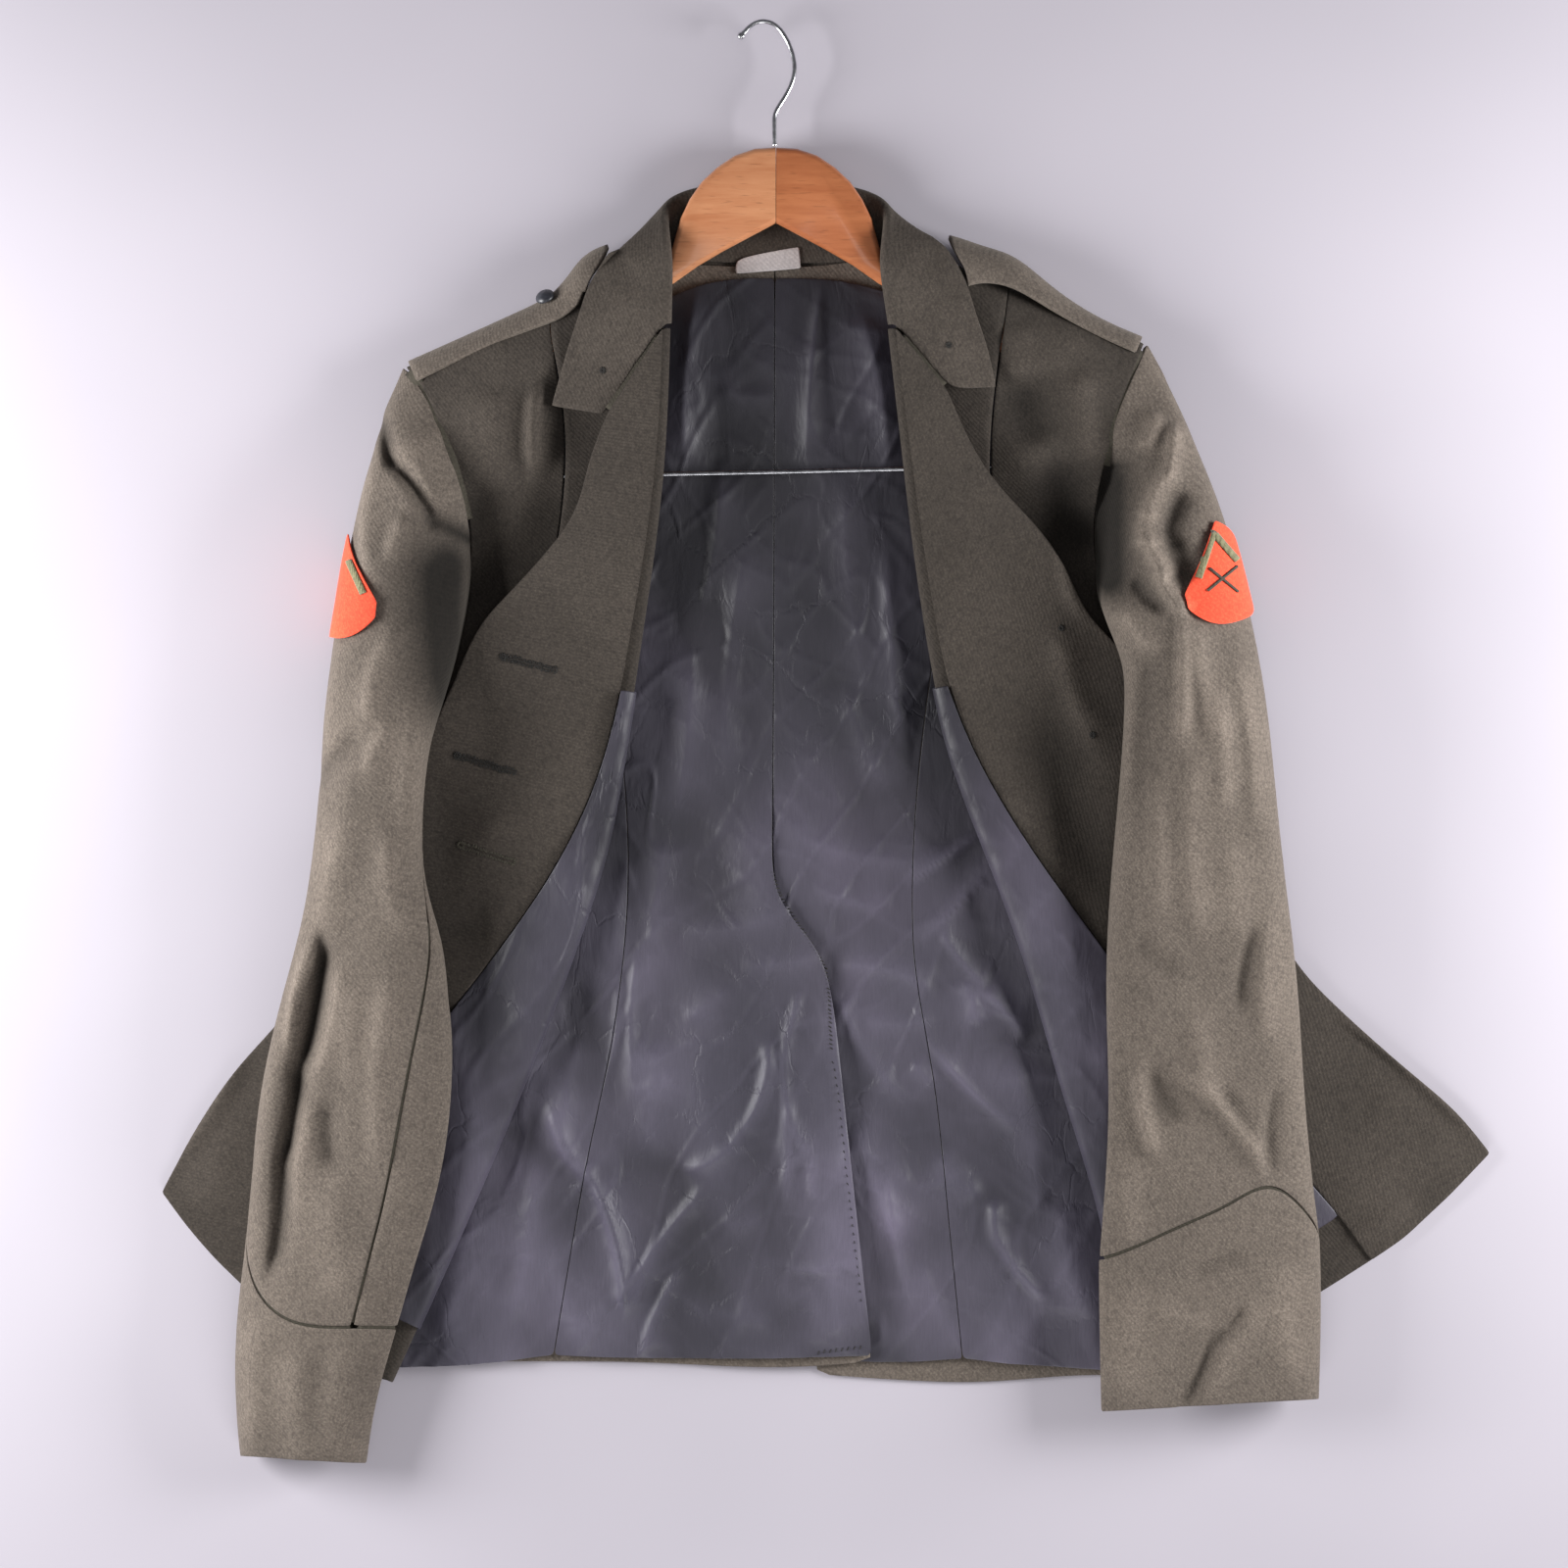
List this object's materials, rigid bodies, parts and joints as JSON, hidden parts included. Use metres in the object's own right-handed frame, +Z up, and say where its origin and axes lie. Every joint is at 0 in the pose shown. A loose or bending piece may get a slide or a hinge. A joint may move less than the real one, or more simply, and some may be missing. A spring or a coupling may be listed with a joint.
{
  "type": "service jacket on a hanger",
  "caption": "Women's single-breasted wool service jacket lying open, fronts turned out, on its wooden hanger with trouser bar.",
  "frame": {"origin": "middle of the laid-out jacket's outline, hook to cuffs and corner to corner, on the surface that it lies on", "axes": "+X to the right of the picture, +Y towards the hook, +Z up from the surface towards the camera"},
  "size_m": [0.7446, 0.8056, 0.0576],
  "materials": {
    "wool": "matte wool serge",
    "satin": "satin lining",
    "felt": "matte felt",
    "cotton": "matte woven label",
    "button": "semi-gloss",
    "wood": "clear varnish",
    "steel": "polished"
  },
  "bodies": {
    "root": {"back_left": "wool", "back_right": "wool", "button_left": "button", "collar": "wool", "cuff_left": "wool", "cuff_right": "wool", "epaulette_left": "wool", "epaulette_right": "wool", "facing_left": "wool", "facing_right": "wool", "front_left": "wool", "front_lining_left": "satin", "front_lining_right": "satin", "front_right": "wool", "hanger_left": "wood", "hanger_right": "wood", "hook": "steel", "label": "cotton", "lining_back_left": "satin", "lining_back_right": "satin", "lining_side_left": "satin", "lining_side_right": "satin", "patch_left": "felt", "patch_right": "felt", "side_front_left": "wool", "side_front_right": "wool", "sleeve_top_left": "wool", "sleeve_top_right": "wool", "sleeve_under_left": "wool", "sleeve_under_right": "wool", "trouser_bar": "steel"}
  },
  "joints": []
}
